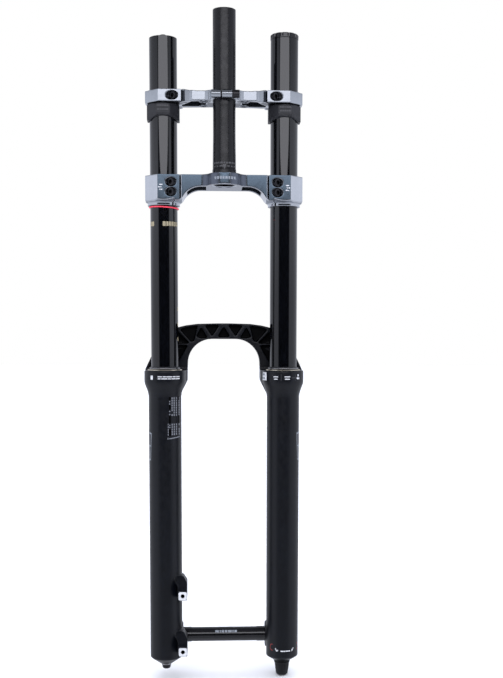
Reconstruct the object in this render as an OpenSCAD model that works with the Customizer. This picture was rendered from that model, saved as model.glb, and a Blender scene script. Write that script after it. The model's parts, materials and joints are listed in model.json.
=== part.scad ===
/* [Layout] */
// Distance between the two stanchion centres
leg_spacing = 154; // [153:0.5:155]
// Forward offset of the stanchions from the steerer axis
crown_offset = 26; // [25.5:0.5:27]
// Forward offset of the wheel axle from the stanchions
axle_lead = 20; // [19:0.5:21]
// Depth of the wheel axle below the crown race seat
axle_drop = 604; // [602:1:606]
// Distance the lowers slide up the stanchions
travel = 200; // [160:5:200]
// Gap that the hub fills between the dropouts
hub_width = 110; // [110:0.5:111]

/* [Tubes] */
// Outer diameter of the stanchions
stanchion_d = 35; // [34.8:0.1:35.2]
// Wall thickness of the stanchions
stanchion_wall = 2; // [1.8:0.1:2.2]
// Height of the stanchion tops above the crown race seat
stanchion_top = 171.5; // [165:0.5:180]
// Outer diameter of the steerer where the stem grips it
steerer_d = 28.6; // [28.4:0.1:28.8]
// Bore of the steerer
steerer_bore = 25.2; // [24:0.2:25.6]
// Height of the steerer's cut end above the crown race seat
steerer_top = 200; // [190:1:260]
// Diameter of the crown race seat
race_d = 30; // [29.8:0.1:30.2]

/* [Crowns] */
// Height of the lower crown's bridge
bridge_h = 14.5; // [14:0.5:16]
// Height of the lower crown's clamps
lower_clamp_h = 37.5; // [36:0.5:38]
// Underside of the upper crown above the crown race seat
upper_crown_z = 89.6; // [88:0.1:96]
// Thickness of the upper crown's clamps
upper_crown_h = 15; // [14.5:0.5:15.5]
// Thickness of the upper crown's bridge
upper_bridge_h = 12.1; // [12:0.1:12.6]
// Angle of each lower clamp's slot from straight back, towards the steerer
lower_slot_angle = 50; // [49:0.5:51]
// Angle of each upper clamp's slot from straight back, towards the steerer
upper_slot_angle = 42.5; // [42:0.5:43]
// Width of the clamp slots
slot_w = 1.6; // [1:0.1:2]
// Side to side spacing of the direct-mount stem bolts
stem_bolt_x = 50.8; // [50:0.1:51]
// Front to back spacing of the direct-mount stem bolts
stem_bolt_y = 25.4; // [25:0.1:26]

/* [Lowers] */
// Depth of the lowers' rim below the crown race seat
rim_drop = 247; // [246:0.5:249]
// Outer diameter of each lower leg
leg_d = 42.4; // [42:0.1:43]
// Outer diameter of the collar at the top of each lower leg
collar_d = 53.4; // [53:0.2:54]
// Inner diameter of each lower leg
leg_bore = 38; // [37.8:0.1:38.2]
// Diameter of the wheel axle
axle_d = 20; // [19.8:0.1:20]
// Distance between the brake mount's two bolts
brake_spacing = 74.2; // [74:0.1:74.4]

/* [Hidden] */
$fn = 96;

leg_x = leg_spacing / 2;
axle_y = crown_offset + axle_lead;
stanchion_r = stanchion_d / 2;
stanchion_in = stanchion_r - stanchion_wall;
steerer_r = steerer_d / 2;
// Radial gaps of parts that slide on each other and of parts that are fixed together
slide_gap = 0.05;
fixed_gap = 0.03;
// Overlap that joins shapes within one solid, and overshoot of every cut
eps = 1;

// Crowns
upper_top = upper_crown_z + upper_crown_h;
upper_mid = upper_crown_z + upper_crown_h / 2;
bridge_top = upper_crown_z + upper_bridge_h;
clamp_rear = 25;
lower_clamp_r = 23.4;
upper_clamp_r = 22.8;
lower_ring_r = 20.7;
// A clamp's pinch: its slot's angle, where the slot leaves the back of the clamp, inboard of the
// stanchion, and how far out along the slot its bolts cross
lower_pinch = [lower_slot_angle, 22, 23.3];
upper_pinch = [upper_slot_angle, 24.2, 25.9];
pinch_z = [-9.3, -21.7];
pinch_end = -9;
bolt_r = 2.95;
bolt_hole_r = 3.1;
head_r = 5;
head_h = 5;
head_recess_r = 5.6;
head_seat = 3.5;
bridge_skin = 4.5;
barrel_y = -20;
barrel_r = 5.2;
barrel_z = upper_crown_z + 5;
barrel_x = [-16.7, 9.8];
barrel_slot_x = -3.9;
steerer_ring_r = 20;
steerer_ring_h = 9.2;
stem_bolts_back = 1.5;

// Lowers
rim_z = -rim_drop;
leg_r = leg_d / 2;
collar_r = collar_d / 2;
bore_r = leg_bore / 2;
seal_seat_r = 21.5;
seal_seat_h = 18;
leg_end_z = -axle_drop - 23;
leg_floor_z = -axle_drop + 19;
stanchion_foot = leg_floor_z + travel + 10;
foot_z_left = leg_end_z - 9.8;
foot_z_right = leg_end_z - 6.4;
arch_back = 51;
arch_front = 67.5;
lug_r = 17;
lug_in = hub_width / 2;
lug_out = 92;
tab_x = -54.5;
tab_face_y = -7;
tab_w = 11.4;
tab_h = 12.6;
tab_top_z = -axle_drop + 65.6;
tab_z = [tab_top_z, tab_top_z - brake_spacing];

// Air spring, from the seal head up and from the shaft's foot down
air_r = stanchion_in - slide_gap;
cap_r = stanchion_in - fixed_gap;
cap_depth = 22;
head_top = stanchion_foot + 25;
air_shaft_r = 5;
air_piston_z = head_top + 13;
air_piston_h = 15;
spacer_h = 12;
spacer_r = 13;
valve_z = stanchion_top + 4.6;

// Damper
tube_r = 13.5;
tube_in = 12.5;
damper_shaft_r = 4.5;
damper_head_top = stanchion_foot + 22;
rebound_z = damper_head_top + 7;
compression_z = 20;
stem_r = 5;
stem_in = 2.6;
dial_z = stanchion_top + 0.3;
dial_h = 6;
dial_r = 17.85;
knob_top_z = foot_z_right - 0.4;
knob_end_z = foot_z_right - 20.6;

// ---------- placing and basic solids ----------

// The left or the right stanchion's own axis
module on_leg(side) {
  translate([side * leg_x, crown_offset, 0]) children();
}

// Both legs, each with -x inboard and -y to the rear
module both_legs() {
  for (side = [-1, 1])
    mirror([side < 0 ? 1 : 0, 0, 0])
      on_leg(1) children();
}

module rod(r, from, to) {
  translate([0, 0, from]) cylinder(h = to - from, r = r);
}

module tube(r, inner, from, to) {
  difference() {
    rod(r, from, to);
    rod(inner, from - eps, to + eps);
  }
}

module lathe(points) {
  rotate_extrude() polygon(points);
}

module o_ring(ring_r, wire_r, z) {
  translate([0, 0, z])
    rotate_extrude() translate([ring_r, 0]) circle(r = wire_r, $fn = 24);
}

// An outline in x and z, extruded along y
module along_y(from, to) {
  translate([0, to, 0]) rotate([90, 0, 0]) linear_extrude(to - from) children();
}

// An outline in y and z, extruded along x
module along_x(from, to) {
  translate([from, 0, 0]) rotate([90, 0, 90]) linear_extrude(to - from) children();
}

module x_rod(r, from, to) {
  translate([from, 0, 0]) rotate([0, 90, 0]) cylinder(h = to - from, r = r);
}

function flip_x(points) = [for (i = [len(points) - 1:-1:0]) [-points[i][0], points[i][1]]];

function arc(cx, cy, r, from, to, steps) =
  [for (i = [0:steps])
    let (a = from + (to - from) * i / steps)
    [cx + r * cos(a), cy + r * sin(a)]];

// ---------- crowns ----------

// Turns x to point along the clamp slot and y to point out of the pinch bolt's recess
module slot_frame(pinch) {
  angle = pinch[0];
  rotate([0, 0, 270 - angle])
    translate([0, clamp_rear * sin(angle) - pinch[1] * cos(angle), 0]) children();
}

// A pinch bolt's axis at height z, with +z towards its head
module pinch_axis(pinch, z) {
  slot_frame(pinch) translate([pinch[2], 0, z]) rotate([-90, 0, 0]) children();
}

module socket_bolt() {
  difference() {
    union() {
      rod(bolt_r, pinch_end, head_seat + 0.5);
      rod(head_r, head_seat + fixed_gap, head_seat + head_h);
    }
    translate([0, 0, head_seat + head_h - 3]) cylinder(h = 4, r = 2.9, $fn = 6);
  }
}

module pinch_bolt_hole() {
  rod(bolt_r + fixed_gap, pinch_end - 1, eps);
  rod(bolt_hole_r, 0, head_seat + eps);
  rod(head_recess_r, head_seat, 40);
}

// A clamp seen from above: round at the front, flat at the back, faceted outboard
module clamp_plan(r, facet) {
  circle(r = r);
  polygon([
    [-24, r - 0.6], [4, r - 0.6], [r - 0.6, -4], [r + 0.1, facet - clamp_rear],
    [r + 0.1 - facet, -clamp_rear], [-24, -clamp_rear]
  ]);
}

module clamp_cuts(pinch, from, to) {
  rod(stanchion_r + fixed_gap, from - eps, to + eps);
  slot_frame(pinch)
    translate([stanchion_r - 2, -slot_w / 2, from - eps])
      cube([30, slot_w, to - from + 2 * eps]);
}

module lower_clamp() {
  bevel_z = 3.2 - lower_clamp_h;
  intersection() {
    translate([0, 0, -lower_clamp_h]) linear_extrude(lower_clamp_h) clamp_plan(lower_clamp_r, 16.4);
    lathe([
      [0, -lower_clamp_h - eps], [lower_ring_r, -lower_clamp_h - eps], [lower_ring_r, bevel_z],
      [lower_ring_r + 8.6, bevel_z + 6.2], [40, bevel_z + 6.2], [40, eps], [0, eps]
    ]);
  }
}

// The bridge seen from the back: flat on top, with a hollow sweep down to each clamp
module bridge_outline() {
  sweep_r = 26;
  sweep_x = 29.5;
  half = concat(
    [[leg_x - 14, 0], [leg_x - 14, -31.5], [leg_x - 20.5, -31.5]],
    arc(sweep_x, -bridge_h - sweep_r, sweep_r, 27.6, 90, 9));
  polygon(concat(half, flip_x(half)));
}

module lower_bridge_pockets() {
  roof = -bridge_skin;
  for (side = [-1, 1])
    mirror([side < 0 ? 1 : 0, 0, 0]) translate([23, 7, -40]) cube([24, 35, 40 + roof]);
}

// The ring around the steerer from above, with a hollow fillet each side into the bridge's rear face.
// Each fillet sinks a little into the two faces that it joins.
module steerer_ring_plan() {
  ring_r = 21;
  fillet_r = 14;
  sink = 0.25;
  face_y = crown_offset - clamp_rear + sink;
  fillet_x = sqrt(pow(ring_r + fillet_r - sink, 2) - pow(fillet_r - face_y, 2));
  turn = atan2(fillet_r - face_y, fillet_x);
  half = concat([[fillet_x, face_y + 6]], arc(fillet_x, face_y - fillet_r, fillet_r, 90, 180 - turn, 9));
  circle(r = ring_r);
  polygon(concat(half, flip_x(half)));
}

module lower_crown() color("#8d99a6") {
  difference() {
    union() {
      along_y(crown_offset - clamp_rear, 47) bridge_outline();
      both_legs() lower_clamp();
      translate([0, 0, -bridge_h]) linear_extrude(bridge_h) steerer_ring_plan();
    }
    rod(steerer_r + 0.3 + fixed_gap, -20, eps);
    lathe([[0, -bridge_h - eps], [17.2, -bridge_h - eps], [14.2, -bridge_h + 2], [0, -bridge_h + 2]]);
    both_legs() {
      clamp_cuts(lower_pinch, -lower_clamp_h, 0);
      for (z = pinch_z) pinch_axis(lower_pinch, z) pinch_bolt_hole();
    }
    lower_bridge_pockets();
  }
}

module lower_crown_pinch_bolts() color("#2a2b2d") {
  both_legs()
    for (z = pinch_z) pinch_axis(lower_pinch, z) socket_bolt();
}

module stem_bolt_places() {
  for (x = [-1, 1], y = [0, 1])
    translate([x * stem_bolt_x / 2, stem_bolts_back + y * stem_bolt_y, 0]) children();
}

module upper_bridge_plan() {
  half = [
    [-8, 37], [20, 37], [54, 40], [62, 40], [62, 1.1], [50.3, 1.1], [42.4, -2.4], [40.4, -4.4],
    [24, -5.4], [20.6, -8], [8, -13]
  ];
  polygon(half);
  polygon(flip_x(half));
}

// The bridge seen from the back: its top dips between the clamps
module upper_bridge_face() {
  half = [
    [62, upper_crown_z], [62, upper_top], [50.3, upper_top], [43, bridge_top + 1], [34, bridge_top]
  ];
  polygon(concat(half, flip_x(half)));
}

module upper_pockets() {
  roof_h = upper_bridge_h - 3;
  translate([0, 0, upper_crown_z - eps]) difference() {
    for (side = [-1, 1])
      mirror([side < 0 ? 1 : 0, 0, 0]) linear_extrude(roof_h + eps)
        polygon([[23, 1], [41, 2.5], [46.5, 14], [52, 23], [53.4, 26], [53.4, 31], [23, 31]]);
    stem_bolt_places() cylinder(h = 30, r = 6);
  }
}

// Steerer clamp: a ring with a barrel behind it for one cross bolt
module steerer_clamp() {
  rod(steerer_ring_r, upper_crown_z, upper_crown_z + steerer_ring_h);
  translate([0, barrel_y, barrel_z]) {
    x_rod(barrel_r, barrel_x[0], barrel_x[1]);
    translate([barrel_x[0], 0, -barrel_r + 0.6])
      cube([barrel_x[1] - barrel_x[0], 14, steerer_ring_h - 0.6]);
  }
}

module upper_crown() color("#c9ced3") {
  difference() {
    union() {
      intersection() {
        translate([0, 0, upper_crown_z]) linear_extrude(upper_crown_h) upper_bridge_plan();
        along_y(-20, 50) upper_bridge_face();
      }
      both_legs()
        translate([0, 0, upper_crown_z]) linear_extrude(upper_crown_h) clamp_plan(upper_clamp_r, 16.7);
      steerer_clamp();
      stem_bolt_places() rod(6, upper_crown_z - 1, bridge_top);
    }
    rod(steerer_r + fixed_gap, 80, 120);
    translate([barrel_slot_x - slot_w / 2, -40, 80]) cube([slot_w, 30, 40]);
    translate([0, barrel_y, barrel_z]) {
      x_rod(bolt_hole_r, barrel_x[0] - eps, barrel_x[1] + eps);
      x_rod(6, barrel_x[1], 40);
    }
    stem_bolt_places() rod(bolt_hole_r, 80, 120);
    both_legs() {
      clamp_cuts(upper_pinch, upper_crown_z, upper_top);
      pinch_axis(upper_pinch, upper_mid) pinch_bolt_hole();
    }
    upper_pockets();
  }
}

module upper_crown_pinch_bolts() color("#2a2b2d") {
  both_legs() pinch_axis(upper_pinch, upper_mid) socket_bolt();
}

module steerer_pinch_bolt() color("#2a2b2d") {
  head_x = barrel_x[1] + fixed_gap;
  translate([0, barrel_y, barrel_z]) difference() {
    union() {
      x_rod(bolt_r, barrel_x[0], head_x + eps);
      x_rod(5.6, head_x, head_x + 1.4);
      x_rod(5, head_x + eps, head_x + 8.6);
    }
    translate([head_x + 5, 0, 0]) rotate([0, 90, 0]) cylinder(h = 5, r = 2.9, $fn = 6);
  }
}

module steerer_tube() color("#2e2f31") {
  root_r = steerer_r + 0.3;
  race_r = race_d / 2;
  groove_z = bridge_top + 0.05;
  groove_r = steerer_r - 0.5;
  difference() {
    lathe([
      [0, -13], [root_r, -13], [root_r, 0.02], [race_r, 0.02], [race_r, 5], [root_r, 6], [14.5, 22],
      [14.1, 46], [14.1, 80], [steerer_r, 84], [steerer_r, groove_z - 0.8], [groove_r, groove_z - 0.8],
      [groove_r, groove_z], [steerer_r, groove_z], [steerer_r, steerer_top], [0, steerer_top]
    ]);
    rod(steerer_bore / 2, -20, steerer_top + eps);
  }
}

module stanchion(side) color("#141416") {
  clip_groove = stanchion_foot + 1.2;
  on_leg(side) difference() {
    tube(stanchion_r, stanchion_in, stanchion_foot, stanchion_top);
    rod(stanchion_in + 0.9, clip_groove, clip_groove + 1.8);
  }
}

module stanchion_left() { stanchion(-1); }

module stanchion_right() { stanchion(1); }

// Octagonal rubber collar under the upper crown, cut away below at the front and back
module bumper(side) color("#26282a") {
  flats = 41;
  low_z = 69;
  top_z = upper_crown_z - 0.1;
  on_leg(side) difference() {
    intersection() {
      rotate([0, 0, 22.5]) translate([0, 0, low_z])
        cylinder(h = top_z - low_z, r = flats / 2 / cos(22.5), $fn = 8);
      lathe([[0, low_z], [25, low_z], [25, top_z - 5], [19.4, top_z], [0, top_z]]);
    }
    rod(stanchion_r + slide_gap, low_z - eps, top_z + eps);
    for (turn = [0, 180])
      rotate([0, 0, turn]) along_x(-30, 30)
        polygon([[-30, low_z + 9.3], [-8.5, low_z], [-8.5, low_z - 10], [-30, low_z - 10]]);
  }
}

module bumper_left() { bumper(-1); }

module bumper_right() { bumper(1); }

module sag_o_ring() color("#c8242c") {
  wire = 0.9;
  on_leg(-1)
    translate([0, 0, -lower_clamp_h - 2.2]) rotate([0, 3, 0])
      o_ring(stanchion_r + wire + 0.15, wire, 0);
}

// ---------- air spring, in the left leg ----------

module air_top_cap() color("#1b1c1e") on_leg(-1) difference() {
  union() {
    difference() {
      rod(cap_r, stanchion_top - cap_depth, stanchion_top);
      tube(12.5, 6.5, stanchion_top - 4, stanchion_top + eps);
      for (a = [0:30:330])
        rotate([0, 0, a]) translate([11.5, -1, stanchion_top - 4]) cube([2.6, 2, 5]);
      tube(cap_r + eps, 13.6, stanchion_top - 18.2, stanchion_top - 16);
    }
    rod(3, stanchion_top - eps, valve_z - 1.5);
  }
  rod(2, stanchion_top - cap_depth - eps, valve_z);
}

module air_cap_seal() color("#202020") on_leg(-1) {
  o_ring(14.6, 0.85, stanchion_top - 17.1);
}

module air_valve_core() color("#c2a25a") on_leg(-1) {
  rod(1.9, stanchion_top - 16, stanchion_top + 2);
  rod(0.8, stanchion_top + 1, valve_z - 2.2);
}

module air_valve_cap() color("#161718") on_leg(-1) difference() {
  lathe([
    [0, stanchion_top + 0.3], [4.5, stanchion_top + 0.3], [4.5, valve_z - 0.9], [3.6, valve_z],
    [0, valve_z]
  ]);
  rod(3 + slide_gap, stanchion_top, valve_z - 1.2);
}

module volume_spacers() color("#c23b34") on_leg(-1) {
  first = stanchion_top - cap_depth;
  for (n = [0:1])
    difference() {
      rod(spacer_r, first - (n + 1) * spacer_h + 0.1, first - n * spacer_h);
      tube(10.5, 5, first - (n + 1) * spacer_h, first - n * spacer_h - 3);
      rod(3, first - (n + 1) * spacer_h, first - n * spacer_h + eps);
    }
}

module air_seal_head() color("#3b3d40") on_leg(-1) difference() {
  rod(cap_r, stanchion_foot + 3.1, head_top);
  tube(cap_r + eps, 13.6, head_top - 9, head_top - 6.8);
  rod(air_shaft_r + slide_gap, stanchion_foot, head_top + eps);
}

module air_head_seal() color("#202020") on_leg(-1) {
  o_ring(14.6, 0.85, head_top - 7.9);
}

// Wire ring with a gap, sprung into the stanchion's groove
module seal_head_clip() color("#8a8d90") on_leg(-1) difference() {
  tube(stanchion_in + 0.8, 12, stanchion_foot + 1.35, stanchion_foot + 2.85);
  translate([0, -4, stanchion_foot]) cube([30, 8, 10]);
}

module air_shaft() color("#b9bdc1") on_leg(-1) {
  difference() {
    rod(air_shaft_r, leg_end_z, air_piston_z + 6);
    rod(3, leg_end_z - eps, air_piston_z - 4);
  }
}

module air_piston() color("#4a4d50") on_leg(-1) difference() {
  rod(air_r, air_piston_z, air_piston_z + air_piston_h);
  tube(air_r + eps, 13.4, air_piston_z + 6, air_piston_z + 8.6);
  rod(air_shaft_r + fixed_gap, air_piston_z - eps, air_piston_z + 6.2);
  rod(8, air_piston_z + 9, air_piston_z + air_piston_h + eps);
}

module air_piston_seal() color("#202020") on_leg(-1) {
  o_ring(14.4, 0.95, air_piston_z + 7.3);
}

module air_topout_bumper() color("#a8882e") on_leg(-1) {
  tube(10, air_shaft_r + slide_gap, head_top + 0.4, air_piston_z - 0.1);
}

module bottom_out_bumper() color("#2c2c2c") on_leg(-1) {
  tube(13, air_shaft_r + 0.1, leg_floor_z + 0.1, leg_floor_z + 7.5);
}

module air_foot_nut() color("#1d1e20") on_leg(-1) difference() {
  union() {
    rod(2.95, foot_z_left - 3, leg_end_z + 17);
    lathe([
      [0, foot_z_left - 6.9], [3.6, foot_z_left - 6.9], [5, foot_z_left - 5.8],
      [6.4, foot_z_left - 1.1], [0, foot_z_left - 1.1]
    ]);
  }
  translate([0, 0, foot_z_left - 8]) cylinder(h = 4, r = 2.9, $fn = 6);
}

// ---------- damper, in the right leg ----------

module damper_top_cap() color("#1b1c1e") on_leg(1) difference() {
  union() {
    rod(cap_r, stanchion_top - cap_depth, stanchion_top);
    rod(tube_in - fixed_gap, stanchion_top - cap_depth - 10, stanchion_top - cap_depth + eps);
  }
  tube(cap_r + eps, 13.6, stanchion_top - 18.2, stanchion_top - 16);
  rod(2.5 + slide_gap, 100, stanchion_top + eps);
  rod(stem_r + fixed_gap, stanchion_top - cap_depth - 11, stanchion_top - cap_depth);
}

module damper_cap_seal() color("#202020") on_leg(1) {
  o_ring(14.6, 0.85, stanchion_top - 17.1);
}

module damper_tube() color("#a7abb0") on_leg(1) {
  tube(tube_r, tube_in, stanchion_foot + 7.1, stanchion_top - cap_depth - 0.1);
}

// Fixed valve on the hollow stem that hangs from the top cap
module compression_piston() color("#b88a2c") on_leg(1) difference() {
  union() {
    rod(tube_in - fixed_gap, compression_z, compression_z + 16);
    rod(stem_r, compression_z + 15, stanchion_top - cap_depth - 0.1);
  }
  for (a = [0:60:300])
    rotate([0, 0, a]) translate([8.5, 0, 0]) rod(1.6, compression_z - eps, compression_z + 17);
  rod(stem_in, compression_z - eps, stanchion_top);
}

module damper_bladder() color("#23252a") on_leg(1) {
  low = compression_z + 18;
  high = stanchion_top - cap_depth - 12;
  lathe([
    [stem_r + 0.05, low], [8, low], [11.6, low + 8], [10.6, low + 34], [11.6, low + 62], [11.6, high - 8],
    [8, high], [stem_r + 0.05, high], [stem_r + 0.05, high - 3], [7.6, high - 3.4], [10.4, high - 9],
    [10.4, low + 62], [9.4, low + 34], [10.4, low + 9], [7.6, low + 3.4], [stem_r + 0.05, low + 3]
  ]);
}

// Castellated adjuster that closes the right stanchion
module compression_dial() color("#202124") on_leg(1) difference() {
  lathe([
    [0, dial_z], [dial_r - 0.4, dial_z], [dial_r, dial_z + 0.5], [dial_r, dial_z + dial_h - 0.8],
    [dial_r - 0.8, dial_z + dial_h], [13, dial_z + dial_h], [12.4, dial_z + dial_h - 1.2],
    [0, dial_z + dial_h - 1.2]
  ]);
  for (a = [15:30:345])
    rotate([0, 0, a]) translate([dial_r + 0.6, 0, 0]) rod(2.2, dial_z + 1.6, dial_z + dial_h + eps);
  rod(2.5 + fixed_gap, dial_z - eps, dial_z + 3);
  rod(1.5 + fixed_gap, dial_z, dial_z + dial_h + eps);
}

module dial_screw() color("#8a8d90") on_leg(1) difference() {
  union() {
    rod(1.5, dial_z - 6, dial_z + dial_h - 1);
    rod(2.8, dial_z + dial_h - 1.15, dial_z + dial_h + 0.8);
  }
  translate([0, 0, dial_z + dial_h - 0.8]) cylinder(h = 3, r = 1.3, $fn = 6);
}

module compression_needle() color("#b9bdc1") on_leg(1) difference() {
  union() {
    rod(2.5, compression_z + 4, dial_z + 2.9);
    lathe([
      [0, compression_z - 2], [0.6, compression_z - 2], [2.5, compression_z + 5], [0, compression_z + 5]
    ]);
  }
  rod(1.5 + fixed_gap, dial_z - 6.1, dial_z + 4);
}

module damper_seal_head() color("#3b3d40") on_leg(1) difference() {
  union() {
    rod(cap_r, stanchion_foot + 0.5, stanchion_foot + 7);
    rod(tube_in - fixed_gap, stanchion_foot + 6, damper_head_top);
  }
  rod(damper_shaft_r + slide_gap, stanchion_foot - eps, damper_head_top + eps);
}

module damper_shaft() color("#c6c9cc") on_leg(1) difference() {
  rod(damper_shaft_r, leg_end_z, rebound_z + 14);
  rod(2.05, leg_end_z - eps, rebound_z + 15);
  rod(3.3, leg_end_z - eps, leg_end_z + 22);
}

module rebound_piston() color("#b88a2c") on_leg(1) difference() {
  rod(tube_in - 0.3, rebound_z, rebound_z + 13.5);
  tube(tube_in + eps, tube_in - 1.2, rebound_z + 4, rebound_z + 10);
  for (a = [0:60:300])
    rotate([0, 0, a]) translate([8.2, 0, 0]) rod(1.4, rebound_z - eps, rebound_z + 15);
  rod(damper_shaft_r + fixed_gap, rebound_z - eps, rebound_z + 15);
}

module piston_glide_ring() color("#d8d3c4") on_leg(1) {
  tube(tube_in - slide_gap, tube_in - 1.15, rebound_z + 4.1, rebound_z + 9.9);
}

module damper_topout_bumper() color("#a8882e") on_leg(1) {
  tube(9, damper_shaft_r + slide_gap, damper_head_top + 0.4, rebound_z - 0.1);
}

module damper_foot_bolt() color("#1d1e20") on_leg(1) difference() {
  union() {
    rod(3.25, foot_z_right - 3, leg_end_z + 21);
    rod(7, foot_z_right - 4, foot_z_right - 1.1);
  }
  rod(2.05, foot_z_right - 10, leg_end_z + 22);
}

module rebound_rod() color("#b9bdc1") on_leg(1) difference() {
  union() {
    rod(2, knob_end_z + 5, rebound_z + 6);
    lathe([[0, rebound_z + 5], [2, rebound_z + 5], [0.5, rebound_z + 12], [0, rebound_z + 12]]);
  }
  rod(1 + fixed_gap, knob_end_z, knob_end_z + 8);
}

// Ribbed adjuster under the right leg: a grooved skirt, then a fluted grip
module rebound_knob() color("#232427") on_leg(1) difference() {
  lathe([
    [0, knob_end_z], [6.2, knob_end_z], [8, knob_end_z + 1.8], [9.9, knob_top_z - 4],
    [10.3, knob_top_z - 3],
    [10.3, knob_top_z - 2.3], [9.6, knob_top_z - 2.1], [9.6, knob_top_z - 1.5], [10.8, knob_top_z - 1.2],
    [10.8, knob_top_z], [0, knob_top_z]
  ]);
  rod(8, foot_z_right - 4.4, knob_top_z + eps);
  rod(2 + fixed_gap, knob_end_z + 5, knob_top_z);
  rod(1 + fixed_gap, knob_end_z - eps, knob_top_z);
  rod(2.4, knob_end_z - eps, knob_end_z + 1.5);
  for (a = [0:36:324])
    rotate([0, 0, a]) translate([10.6, 0, 0]) rod(1.7, knob_end_z - eps, knob_top_z - 4.6);
}

module knob_screw() color("#8a8d90") on_leg(1) difference() {
  union() {
    rod(1, knob_end_z + 1, knob_end_z + 7.8);
    rod(2.3, knob_end_z + 0.2, knob_end_z + 1.45);
  }
  translate([0, 0, knob_end_z - 0.5]) cylinder(h = 1.3, r = 0.9, $fn = 6);
}

// ---------- lowers ----------

module leg_body(foot_r, foot_z) {
  lathe([
    [0, foot_z], [foot_r, foot_z], [leg_r, leg_end_z], [leg_r, rim_z - 34],
    [21.9, rim_z - 29.5], [23.6, rim_z - 24], [26, rim_z - 18], [collar_r, rim_z - 14.8],
    [collar_r, rim_z - 0.8], [collar_r - 0.8, rim_z], [0, rim_z]
  ]);
}

// Flat inboard cheek of the collar, where it runs forward into the arch
module collar_cheek() {
  inner = -29;
  intersection() {
    translate([0, 0, rim_z - 22]) linear_extrude(22)
      polygon([[-21, -14], [inner, 7], [inner, 36], [2, 36], [2, -10]]);
    along_y(-20, 40)
      polygon([[inner, rim_z], [inner, rim_z - 14], [-21, rim_z - 21], [0, rim_z - 21], [0, rim_z]]);
  }
}

module arch_outline() {
  opening_r = 32.2;
  corner_x = 15.5;
  corner_z = rim_z + 8.3;
  outer = [
    [8, rim_z + 61.1], [34.8, rim_z + 60.4], [50, rim_z + 58.4], [60, rim_z + 56], [72, rim_z + 50.5],
    [82, rim_z + 42], [90, rim_z + 30], [96.4, rim_z + 16.4], [104, rim_z + 0.6], [103, rim_z - 14],
    [98, rim_z - 32], [90, rim_z - 50], [77, rim_z - 60], [64, rim_z - 50], [56, rim_z - 30],
    [leg_x - 29, rim_z - 14]
  ];
  half = concat(outer, arc(corner_x, corner_z, opening_r, 0, 90, 10));
  polygon(concat(half, flip_x(half)));
}

// The arch seen from the side: upright above the rim, fairing into the legs below it
module arch_side() {
  polygon([
    [arch_back, rim_z + 70], [62, rim_z + 70], [62, rim_z + 59], [arch_front - 0.8, rim_z + 50],
    [arch_front, rim_z + 14], [arch_front - 1.4, rim_z - 6], [61.5, rim_z - 24], [54, rim_z - 46],
    [46, rim_z - 62], [38, rim_z - 62], [38, rim_z - 0.2], [arch_back, rim_z - 0.2]
  ]);
}

module rounded_hole(points) {
  offset(r = 1.4, $fn = 24) offset(delta = -1.4) polygon(points);
}

// Cells cast into the back of the arch, each given from the centre line outwards
module arch_cells() {
  top = rim_z + 58.9;
  rounded_hole([[0, top - 1.2], [8.6, rim_z + 43.2], [-8.6, rim_z + 43.2]]);
  for (side = [-1, 1]) scale([side, 1]) {
    rounded_hole([[5.4, top + 0.3], [25.4, top - 0.2], [15.6, rim_z + 44]]);
    rounded_hole([[30, top - 2], [36.6, rim_z + 43.4], [30, rim_z + 41.4], [21.2, rim_z + 41.6]]);
    rounded_hole([
      [34.6, top - 0.8], [48, top - 2.4], [58.4, top - 5.6], [43.6, rim_z + 36.6], [39, rim_z + 38.2]
    ]);
    rounded_hole([[60.6, top - 8.6], [72, top - 12.6], [82, rim_z + 34.4], [44.4, rim_z + 34.4]]);
    rounded_hole([[47.4, rim_z + 32.2], [83.4, rim_z + 32.2], [88.4, rim_z + 22], [60.4, rim_z + 9]]);
    rounded_hole([[91, rim_z + 18], [98.6, rim_z + 2], [68, rim_z + 2], [64.6, rim_z + 7.6]]);
  }
}

module arch() {
  difference() {
    intersection() {
      along_y(36, 72) arch_outline();
      along_x(-110, 110) arch_side();
    }
    along_y(arch_back - eps, 61) arch_cells();
  }
}

// A dropout around the axle, with a web up the front of the leg
module dropout() {
  translate([0, axle_y, -axle_drop]) x_rod(lug_r, lug_in, lug_out);
  along_x(lug_in + 2.5, lug_out - 1)
    polygon([
      [crown_offset, -axle_drop - 15.6], [axle_y, -axle_drop - 16.6], [axle_y + 12, -axle_drop + 11.4],
      [axle_y + 1, -axle_drop + 33], [crown_offset + 12, -axle_drop + 52], [crown_offset, -axle_drop + 52]
    ]);
}

// One brake tab: a flat machined pad on a web that tapers up into the leg
module brake_tab(z) {
  low = z - tab_h / 2;
  high = z + tab_h / 2;
  half_w = tab_w / 2;
  intersection() {
    along_x(tab_x - 14, tab_x + half_w)
      polygon([
        [tab_face_y, low], [tab_face_y, high], [tab_face_y + 5, high + 3.5], [10, z + 22.5], [28, z + 22.5],
        [28, low]
      ]);
    along_y(tab_face_y - 1, 30)
      polygon([
        [tab_x - half_w, low - 1], [tab_x - half_w, z + 8.4], [tab_x - 11.4, z + 21.3],
        [tab_x + 0.8, z + 22.8], [tab_x + half_w, z + 15.2], [tab_x + half_w, low - 1]
      ]);
  }
}

module leg_bores() {
  rod(bore_r, leg_floor_z, rim_z);
  rod(seal_seat_r, rim_z - seal_seat_h, rim_z + eps);
}

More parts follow.
